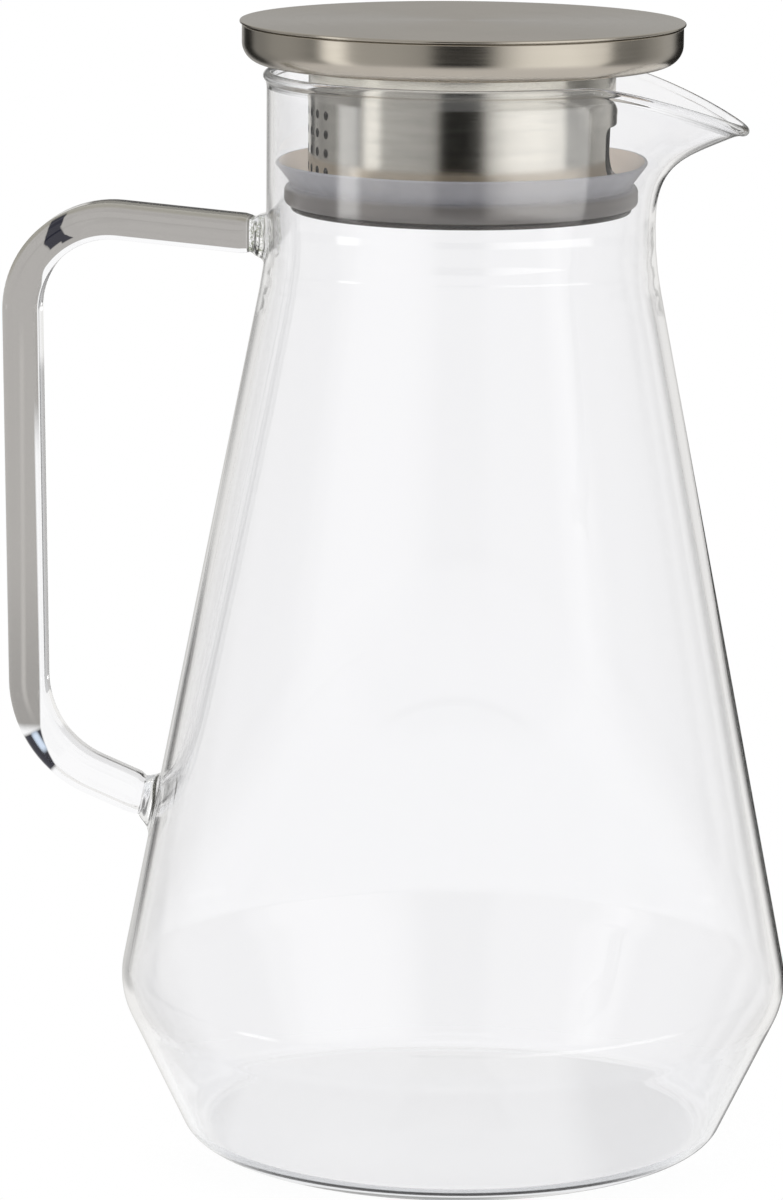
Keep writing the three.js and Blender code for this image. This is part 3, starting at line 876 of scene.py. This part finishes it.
def painted_top_bend_glint(nodes, point, place, centre):
    """The painted dark glint in the upper bend, a reflection painted into the glass, with its tail
    along the bar's inner edge.
    """
    reach, degrees = around_bend(nodes, place, centre, 1)
    ragged = nodes.noise(point, 500.0) * 3.0 + (degrees - 1.5)
    left = reach * -3890.0 + ragged
    right = nodes.maths("MINIMUM", reach * -3000.0 + (ragged + 64.8), ragged)
    dark = (nodes.smooth(left, -34.5, -33.0) * nodes.fade(right, 60.8, 62.0)
            * nodes.smooth(ragged, 46.0, 47.5) * nodes.smooth(reach, 0.0185, 0.0188))
    tail = (nodes.band(ragged, 56.0, 66.0, 0.8) * nodes.smooth(reach, 0.0180, 0.0183)
            * nodes.fade(ragged * 0.00032 + reach, 0.0391, 0.0394))
    return nodes.most(dark, tail)


def painted_foot_bend_glints(nodes, place, centre):
    """The painted dark reflection in the lower bend, and the painted blue glint on it."""
    reach, degrees = around_bend(nodes, place, centre, -1)
    painted_dark_patch = (nodes.band(degrees, 27.0, 48.0, 1.2)
             * nodes.smooth(degrees * -0.00012 + reach, 0.0199, 0.0203))
    glint = nodes.band(degrees, 28.0, 38.0, 2.0) * nodes.band(reach, 0.0246, 0.0258, 0.0004)
    return painted_dark_patch, glint


def painted_weld_lines(nodes, point, place, bead):
    """Painted dark-green swirls in the upper bead, the green of thick glass with painted shade for
    what it refracts, and painted dark lines where bar and beads meet.
    """
    x, _, z = place
    high = nodes.smooth(z, 0.188, 0.190)
    swirl = nodes.noise(point, 700.0, Detail=1.0, Distortion=1.5)
    # painted dark-green swirls in the upper bead
    painted_swirls = (high * nodes.band(x, bead + 0.0004, bead + 0.0042, 0.0003)
              * nodes.band(swirl, 0.46, 0.54, 0.02))
    # painted dark lines where bar and beads meet
    painted_seam = high * nodes.band(x, bead + 0.0003, bead + 0.0008, 0.0001)
    painted_low_seam = nodes.band(x, -0.0672, -0.0662, 0.0002) * nodes.fade(z, 0.098, 0.100)
    return painted_swirls, nodes.most(painted_seam, painted_low_seam)


def bar_glass(v, h):
    """The handle's glass: painted grey, which stands in for what it reflects, but for its clear foot
    and inner side, with painted dark glints in the bends and painted dark lines at its inner edge,
    beads and seams."""
    material, nodes = new_material("bar_glass")
    point = nodes.point()
    place = x, y, z = nodes.parts(point)
    top = bend_centre(h.reach, Arm(v, v.height - h.top_below_rim, h.top_slope), h.top_bend, 1)
    foot = bend_centre(h.reach - h.lean, Arm(v, h.foot_height, h.foot_slope), h.foot_bend, -1)
    bead = -(v.neck_radius + h.upper_weld)
    depth, inner = loop_side(nodes, point, top, foot)
    painted_grey_area, painted_grey = painted_bar_grey(nodes, h, place, depth, inner)
    # painted dark line along the bar's inner edge
    painted_inner_line = (nodes.band(y, -0.0036, -0.0022, 0.0003) * nodes.smooth(inner, 0.90, 0.97)
           * nodes.smooth(z, 0.098, 0.108, 0.0, 0.8))
    near = nodes.fade(y, *NEAR_SIDE)
    painted_dark_patch, glint = painted_foot_bend_glints(nodes, place, foot)
    painted_swirls, painted_seam = painted_weld_lines(nodes, point, place, bead)
    tint = v.tint
    for where, tone in ((painted_inner_line, PAINTED_INNER_LINE_TONE), (painted_swirls, PAINTED_SWIRL_TONE), (painted_seam, PAINTED_SEAM_TONE),
                        (painted_grey_area * nodes.fade(x, bead, bead + 0.001), painted_grey),
                        (painted_top_bend_glint(nodes, point, place, top) * near, h.dark),
                        (painted_dark_patch * near, h.dark), (glint * near, GLINT_TONE)):
        tint = nodes.blend(where, tint, tone)
    glass_surface(nodes, tint, (0.93, 1.0), 0.03, 60.0)
    return material


def clouded(nodes, pattern, full, dim):
    """A colour that is dimmed where a pattern is low."""
    return nodes.blend(nodes.smooth(pattern, 0.3, 0.7), tuple(dim * c for c in full), full)


def outward(nodes, point):
    """How far the surface faces away from the vessel's axis."""
    out = nodes.vectors("NORMALIZE", nodes.vectors("MULTIPLY", point, (1, 1, 0)))
    return nodes.vectors("DOT_PRODUCT", out, nodes.geometry("Normal"))


def ring_grain(nodes, fine):
    """Fine lines around the vessel's axis, as a number about a half."""
    x, y, z = nodes.parts(nodes.point())
    out = nodes.vectors("LENGTH", nodes.put("CombineXYZ", {0: x, 1: y}))
    spots = nodes.put("CombineXYZ", {0: out * fine, 1: nodes.maths("ARCTAN2", y, x) * 2.0,
                                     2: z * fine})
    return nodes.noise(spots, 1.0, Detail=3.0, Roughness=0.6)


def brushed(nodes, tone, grain, rough, depth):
    """Steel that is brushed around the axis, so that what it mirrors is drawn out upright."""
    spread = nodes.put("MapRange", {"Value": grain, "To Min": rough[0], "To Max": rough[1]})
    nodes.surface(nodes.put("BsdfPrincipled", {
        "Base Color": tone, "Metallic": 1.0, "Roughness": spread.outputs["Result"],
        "Normal": nodes.bump(depth, 0.0002, grain), "Anisotropic": 0.7,
        "Anisotropic Rotation": 0.25,
        "Tangent": nodes.put("Tangent", direction_type="RADIAL", axis="Z")}))


def satin_steel(lid):
    """The lid's steel, with a fine satin finish."""
    material, nodes = new_material("satin_steel")
    cloud = nodes.noise(nodes.point(), 60.0, Detail=2.0, Roughness=0.6)
    tone = clouded(nodes, cloud, lid.steel, 0.96)
    brushed(nodes, tone, ring_grain(nodes, FINE_GRAIN), (0.16, 0.30), 0.04)
    return material


def brushed_steel(collar, shelf):
    """The collar's steel, with painted shade inside, in its holes and on the flange below the shelf.
    """
    material, nodes = new_material("brushed_steel")
    tone = clouded(nodes, ring_grain(nodes, BROAD_GRAIN), collar.steel, 0.9)
    point = nodes.point()
    # painted shade on faces that turn away from outside and on the flange below the shelf
    painted_shade_where = nodes.most(nodes.fade(outward(nodes, point), 0.6, 0.85),
                        nodes.fade(nodes.parts(point)[2], shelf - 0.0001, shelf + 0.0001))
    tone = nodes.blend(painted_shade_where, tone, collar.inside)
    brushed(nodes, tone, ring_grain(nodes, FINE_GRAIN), (0.12, 0.24), 0.05)
    return material


def milky_silicone(seal, shoulder):
    """The seal's translucent silicone, with painted shade on the body below the shoulder and painted
    light, warm and bright, on its inner side.
    """
    material, nodes = new_material("milky_silicone")
    point = nodes.point()
    cloud = nodes.noise(point, 300.0, Detail=3.0, Roughness=0.6)
    tone = clouded(nodes, cloud, seal.silicone, 0.9)
    # painted shade on the body below the shoulder
    low = nodes.fade(nodes.parts(point)[2], shoulder - 0.0008, shoulder + 0.0004)
    tone = nodes.blend(low, tone, seal.painted_body_shade)
    # painted light, warm and bright, on the faces that turn inwards
    tone = nodes.blend(nodes.fade(outward(nodes, point), -0.4, -0.1), tone, seal.inside)
    nodes.surface(nodes.put("BsdfPrincipled", {
        "Base Color": tone, "Roughness": 0.30, "IOR": SILICONE_IOR, "Transmission Weight": 0.6,
        "Normal": nodes.bump(0.05, 0.0003, cloud)}))
    return material


# Stage


def seen_white(nodes):
    """One for rays that see the backdrop plainly: from the camera, or only through glass."""
    path = nodes.light_path()
    plain = path["Glossy Depth"] + path["Diffuse Depth"] < 0.5
    return nodes.most(path["Is Camera Ray"], path["Is Transmission Ray"] * plain)


def studio_ring(nodes, along, levels):
    """Light of a ring of the studio at a share of the whole turn."""
    ramp = nodes.put("ValToRGB", {"Fac": along})
    stops = ramp.color_ramp.elements
    while len(stops) < len(levels):
        stops.new(1.0)
    for stop, (angle, level) in zip(stops, levels):
        stop.position = angle / 360 + 0.5
        stop.color = (level, level * 0.99, level * 0.97, 1)
    return ramp.outputs[0]


def studio_world():
    """Soft boxes and dark gaps for steel and for the edges of glass, a plain room for matt
    surfaces, and a white backdrop."""
    world = bpy.data.worlds.new("studio")
    bpy.context.scene.world = world
    nodes = Nodes(world, "OutputWorld")
    x, y, z = nodes.parts(nodes.put("TexCoord").outputs["Generated"])
    compass = nodes.maths("ARCTAN2", x, y * -1.0)
    along = compass * (1 / math.tau) + 0.5

    def climb(low, high):
        return nodes.smooth(z, math.sin(math.radians(low)), math.sin(math.radians(high)))

    def walls(below, behind):
        ring = studio_ring(nodes, along, (*behind[0], *STUDIO_FRONT, *behind[1]))
        return nodes.blend(climb(-38, -24), below, ring)

    path = nodes.light_path()
    steel = nodes.blend(climb(2, 6), walls(GROUND, STUDIO_BEHIND), walls(GROUND, STUDIO_HIGH))
    steel = nodes.blend(climb(10, 16), steel, OVERHEAD)
    beyond = nodes.blend(climb(35, 60), walls(PALE, STUDIO_BEYOND), PALE)
    room = nodes.blend(path["Is Transmission Ray"], steel, beyond)
    edges = PALE
    for rise, levels in EDGE_RINGS:
        edges = nodes.blend(climb(*rise), edges, studio_ring(nodes, along, levels))
    edges = nodes.blend(climb(55, 65), edges, PALE)
    glassy = nodes.most(path["Is Transmission Ray"] * (path["Transmission Depth"] < 2.5),
                        path["Is Singular Ray"] * path["Is Reflection Ray"])
    room = nodes.blend(glassy, room, edges)
    aside = nodes.maths("ABSOLUTE", nodes.maths("DEGREES", compass))
    level = (climb(-7.35, -7.2) - climb(-5.8, -5.3)) * nodes.fade(aside, 120.0, 135.0)
    room = nodes.blend(glassy * level, room, studio_ring(nodes, along, NECK_LIGHTS))
    room = nodes.blend(path["Diffuse Depth"] > 0.5, room, PALE)
    seen = nodes.blend(seen_white(nodes), room, WHITE)
    nodes.surface(nodes.put("Background", {"Color": seen}))


def floor_paint(stage):
    """Matt paint with a painted shadow below the carafe's front and a painted contact shadow at its
    seat, which fades into the backdrop around it.
    """
    material, nodes = new_material("pale_floor")
    point = nodes.point()
    away = nodes.vectors("LENGTH", point)
    front = nodes.parts(point)[1]
    grain = nodes.put("Bump", {"Strength": 0.05, "Height": nodes.noise(point, 400.0)})
    # painted shadow on the floor below the carafe's front
    dim = nodes.smooth(away, 0.034, 0.050) * nodes.fade(front, -0.045, -0.015)
    # painted contact shadow where the base sits
    seat = nodes.band(away, 0.0538, 0.0562, 0.0004) * nodes.fade(front, -0.045, -0.02)
    tone = nodes.blend(dim, stage.floor, PAINTED_FLOOR_SHADOW)
    tone = nodes.blend(seat, tone, PAINTED_SEAT_SHADOW)
    matt = nodes.put("BsdfDiffuse", {"Color": tone, "Normal": grain})
    bare = nodes.put("MixShader", {0: nodes.smooth(away, 0.065, 0.12), 1: matt,
                                   2: nodes.put("BsdfTransparent")})
    lit = nodes.smooth(away, 0.058, 0.08, 0.95, 1.0) * seen_white(nodes)
    glow = nodes.put("Emission", {"Color": WHITE, "Strength": 1.0})
    nodes.surface(nodes.put("MixShader", {0: lit, 1: bare, 2: glow}))
    return material


def pale_floor(stage):
    """A plain floor that keeps the shadow close by."""
    radii = np.linspace(0, stage.floor_radius, 24)[1:]
    vertices = [(0, 0, 0)]
    faces = []
    for r in radii:
        for k in range(FLOOR_SEGMENTS):
            a = k * math.tau / FLOOR_SEGMENTS
            vertices.append((r * math.cos(a), r * math.sin(a), 0))
    for k in range(FLOOR_SEGMENTS):
        n = (k + 1) % FLOOR_SEGMENTS
        faces.append((0, 1 + k, 1 + n))
        for i in range(len(radii) - 1):
            base = 1 + i * FLOOR_SEGMENTS
            after = base + FLOOR_SEGMENTS
            faces.append((base + k, after + k, after + n, base + n))
    floor = mesh_object("floor", vertices, faces)
    floor.location.z = -0.0001
    floor.visible_glossy = False
    floor.data.materials.append(floor_paint(stage))


def soft_lamp(name, place, size, power):
    """A square soft lamp that faces the carafe and isn't itself seen."""
    light = bpy.data.lights.new(name, "AREA")
    light.shape = "SQUARE"
    light.size = size
    light.energy = power
    lamp = bpy.data.objects.new(name, light)
    lamp.location = place
    aim = Vector((0, 0, 0.1)) - Vector(place)
    lamp.rotation_euler = aim.to_track_quat("-Z", "Y").to_euler()
    lamp.visible_camera = False
    lamp.visible_glossy = False
    lamp.visible_transmission = False
    bpy.context.scene.collection.objects.link(lamp)


def photo_camera(stage):
    """The camera at the photograph's view."""
    yaw, dip, roll = stage.yaw, stage.dip, stage.roll
    forward = Vector((math.sin(yaw) * math.cos(dip), math.cos(yaw) * math.cos(dip),
                      -math.sin(dip)))
    right = Vector((math.cos(yaw), -math.sin(yaw), 0))
    up = right.cross(forward)
    tilted_right = math.cos(roll) * right + math.sin(roll) * up
    tilted_up = math.cos(roll) * up - math.sin(roll) * right
    turned = Matrix.Rotation(stage.azimuth, 4, "Z")
    place = Matrix((tilted_right, tilted_up, -forward)).transposed().to_4x4()
    place.translation = (0, -stage.distance, stage.camera_height)
    data = bpy.data.cameras.new("camera")
    data.lens = stage.lens
    data.sensor_width = 36
    camera = bpy.data.objects.new("camera", data)
    bpy.context.scene.collection.objects.link(camera)
    camera.matrix_world = turned @ place
    bpy.context.scene.camera = camera


# Operators


class CARAFE_OT_glass(bpy.types.Operator):
    """Make the vessel with its handle melted on"""

    bl_idname = "carafe.glass"
    bl_label = "Glass jug"

    def execute(self, context):
        v, h = context.scene.carafe_vessel, context.scene.carafe_handle
        outline, rim = vessel_outline(v)
        jug = wrapped("glass_jug", spout_grid(v, outline), True)
        handle = handle_bar(v, h)
        for glass in VESSEL_GLASS:
            jug.data.materials.append(vessel_glass(v, *glass))
        rows = len(outline) - 2
        for face in jug.data.polygons:
            if len(face.vertices) != 4:
                continue
            steps = [k % rows + 1 for k in face.vertices]
            if all(k in rim for k in steps):
                face.material_index = 1
            elif all(k >= rim.stop and outline[k].y < INNER_GLASS_HEIGHT for k in steps):
                face.material_index = 2
        handle.data.materials.append(bar_glass(v, h))
        carved(jug, handle, "UNION")
        sharpened(jug, 50)
        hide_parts("glass_body", "handle_bar", "handle_upper_weld", "handle_lower_weld")
        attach(jug, "jug")
        return {"FINISHED"}


class CARAFE_OT_lid(bpy.types.Operator):
    """Make the lid's pan and its top disc"""

    bl_idname = "carafe.lid"
    bl_label = "Lid"

    def execute(self, context):
        v, lid = context.scene.carafe_vessel, context.scene.carafe_lid
        steel = satin_steel(lid)
        radius = v.neck_radius + lid.overhang
        inner = radius - lid.sheet
        bottom = v.height + lid.above_rim
        top = bottom + lid.pan_depth
        pan = revolved("lid_pan", densified(rounded([
            (0.0, bottom, 0),
            (radius, bottom, lid.pan_round),
            (radius, top, lid.sheet * 0.3),
            (inner, top, lid.sheet * 0.3),
            (inner, bottom + lid.sheet, lid.pan_round - lid.sheet),
            (0.0, bottom + lid.sheet, 0),
        ]), LID_STEP), STEEL_SEGMENTS)
        seat = top + FIT_GAP
        edge = radius + lid.disc_overhang
        skirt_outer = inner - FIT_GAP
        skirt_inner = skirt_outer - lid.sheet
        disc = revolved("lid_disc", densified(rounded([
            (0.0, seat, 0),
            (skirt_inner, seat, 0),
            (skirt_inner, seat - lid.skirt, 0),
            (skirt_outer, seat - lid.skirt, 0),
            (skirt_outer, seat, 0),
            (edge, seat, lid.disc_round * 0.5),
            (edge, seat + lid.disc, lid.disc_round),
            (0.0, seat + lid.disc, 0),
        ]), LID_STEP), STEEL_SEGMENTS)
        for piece, node in ((pan, "lid_under_pan"), (disc, "lid_top_disc")):
            sharpened(piece, 40)
            piece.data.materials.append(steel)
            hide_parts(node)
            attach(piece, "lid")
        return {"FINISHED"}


class CARAFE_OT_collar(bpy.types.Operator):
    """Make the strainer collar with its holes and its pour window"""

    bl_idname = "carafe.collar"
    bl_label = "Strainer collar"

    def execute(self, context):
        scene = context.scene
        v, lid, c = scene.carafe_vessel, scene.carafe_lid, scene.carafe_collar
        bore = v.neck_radius - v.neck_wall
        outer = bore - c.gap
        inner = outer - c.sheet
        top = v.height + lid.above_rim - FIT_GAP
        bottom = top - c.depth
        flange = bore - c.flange_gap
        shelf = bottom + c.flange
        loop = rounded([
            (inner, (bottom + top) / 2, 0),
            (inner, bottom, c.sheet * 0.8),
            (flange, bottom, c.flange * 0.45),
            (flange, shelf, c.flange * 0.45),
            (outer, shelf, 0.0005),
            (outer, top, c.sheet * 0.2),
            (inner, top, c.sheet * 0.2),
            (inner, (bottom + top) / 2, 0),
        ])
        collar = revolved("strainer", densified(loop, COLLAR_STEP)[:-1], STEEL_SEGMENTS)
        cutters = self.cutters(c, outer, top)
        steel = brushed_steel(c, shelf)
        collar.data.materials.append(steel)
        cutters.data.materials.append(steel)
        carved(collar, cutters, "DIFFERENCE")
        sharpened(collar, 35)
        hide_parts("strainer_collar")
        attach(collar, "lid")
        return {"FINISHED"}

    def cutters(self, c, outer, top):
        """Pins for the holes and a rounded block for the window, as one mesh."""
        vertices, faces = [], []

        def prism(rim_points, turn_by):
            base, count = len(vertices), len(rim_points)
            spin = Matrix.Rotation(turn_by, 3, "Z")
            for x in (outer * 0.7, outer * 1.3):
                vertices.extend(spin @ Vector((x, y, z)) for y, z in rim_points)
            faces.append(tuple(base + k for k in reversed(range(count))))
            faces.append(tuple(base + count + k for k in range(count)))
            for k in range(count):
                n = (k + 1) % count
                faces.append((base + k, base + n, base + count + n, base + count + k))

        for row in range(c.rows):
            z = top - c.holes_below - row * c.row_pitch
            circle = [(c.hole / 2 * math.cos(a), z + c.hole / 2 * math.sin(a))
                      for a in np.arange(HOLE_SEGMENTS) * math.tau / HOLE_SEGMENTS]
            for column in range(c.columns):
                across = (column - (c.columns - 1) / 2) * c.column_pitch
                prism(circle, math.pi + across / outer)
        half, foot = c.window_width / 2, top - c.window_below - c.window_height
        ceiling = top - c.window_below
        frame_points = rounded([
            (0, foot, 0), (half, foot, c.window_foot), (half, ceiling, c.window_top),
            (-half, ceiling, c.window_top), (-half, foot, c.window_foot), (0, foot, 0)])
        prism([tuple(p) for p in frame_points[:-1]], 0)
        return mesh_object("cutters", vertices, faces)


class CARAFE_OT_seal(bpy.types.Operator):
    """Make the flared silicone seal"""

    bl_idname = "carafe.seal"
    bl_label = "Seal"

    def execute(self, context):
        scene = context.scene
        v, lid, c, s = (scene.carafe_vessel, scene.carafe_lid, scene.carafe_collar,
                        scene.carafe_seal)
        neck = v.neck_radius - v.neck_wall
        bore = neck - c.gap + FIT_GAP
        foot = v.height + lid.above_rim - FIT_GAP - c.depth + c.flange + FIT_GAP
        shoulder = foot + s.body
        body = neck - s.body_gap
        groove = body - s.groove
        lip = neck - FIT_GAP
        lip_top = shoulder + s.lip_rise
        loop = rounded([
            (bore, (foot + shoulder) / 2, 0),
            (bore, foot, 0.0003),
            (body, foot, s.body_round),
            (body, shoulder, s.body_round),
            (groove, shoulder, 0.0003),
            (lip, lip_top, s.lip * 0.3),
            (lip - s.lip, lip_top, s.lip * 0.4),
            (groove - s.lip, shoulder + s.lip, 0.0005),
            (bore, shoulder + s.lip, 0.0002),
            (bore, (foot + shoulder) / 2, 0),
        ])
        seal = revolved("silicone_seal", densified(loop, SEAL_STEP)[:-1], STEEL_SEGMENTS)
        sharpened(seal, 40)
        seal.data.materials.append(milky_silicone(s, shoulder))
        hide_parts("seal_ring")
        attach(seal, "seal")
        return {"FINISHED"}


class CARAFE_OT_stage(bpy.types.Operator):
    """Set the floor, the light and the camera"""

    bl_idname = "carafe.stage"
    bl_label = "Stage"

    def execute(self, context):
        stage = context.scene.carafe_stage
        studio_world()
        pale_floor(stage)
        soft_lamp("top_lamp", (-0.5, -0.5, 1.6), 1.2, 14)
        photo_camera(stage)
        context.scene.cycles.max_bounces = 24
        context.scene.cycles.glossy_bounces = 16
        context.scene.cycles.transmission_bounces = 24
        context.scene.view_settings.view_transform = "Standard"
        return {"FINISHED"}


class CARAFE_PT_panel(bpy.types.Panel):
    """The carafe's sizes, colours and steps"""

    bl_idname = "CARAFE_PT_panel"
    bl_label = "Glass carafe"
    bl_space_type = "VIEW_3D"
    bl_region_type = "UI"
    bl_category = "Carafe"

    def draw(self, context):
        for operator in OPERATORS:
            self.layout.operator(operator.bl_idname)
        for name, group in GROUPS.items():
            box = self.layout.box()
            box.label(text=group.__doc__)
            settings = getattr(context.scene, name)
            for key in group.__annotations__:
                box.prop(settings, key)


GROUPS = {
    "carafe_vessel": CarafeVessel,
    "carafe_handle": CarafeHandle,
    "carafe_lid": CarafeLid,
    "carafe_collar": CarafeCollar,
    "carafe_seal": CarafeSeal,
    "carafe_stage": CarafeStage,
}
OPERATORS = (CARAFE_OT_glass, CARAFE_OT_lid, CARAFE_OT_collar, CARAFE_OT_seal, CARAFE_OT_stage)


def register():
    """Adds the groups, the operators and the panel."""
    for cls in (*GROUPS.values(), *OPERATORS, CARAFE_PT_panel):
        bpy.utils.register_class(cls)
    for name, group in GROUPS.items():
        setattr(bpy.types.Scene, name, PointerProperty(type=group))


def unregister():
    """Takes them away again."""
    for name in GROUPS:
        delattr(bpy.types.Scene, name)
    for cls in (CARAFE_PT_panel, *OPERATORS, *GROUPS.values()):
        bpy.utils.unregister_class(cls)


def main():
    """Makes every piece and the stage."""
    register()
    bpy.ops.carafe.glass()
    bpy.ops.carafe.lid()
    bpy.ops.carafe.collar()
    bpy.ops.carafe.seal()
    bpy.ops.carafe.stage()


if __name__ == "__main__":
    main()
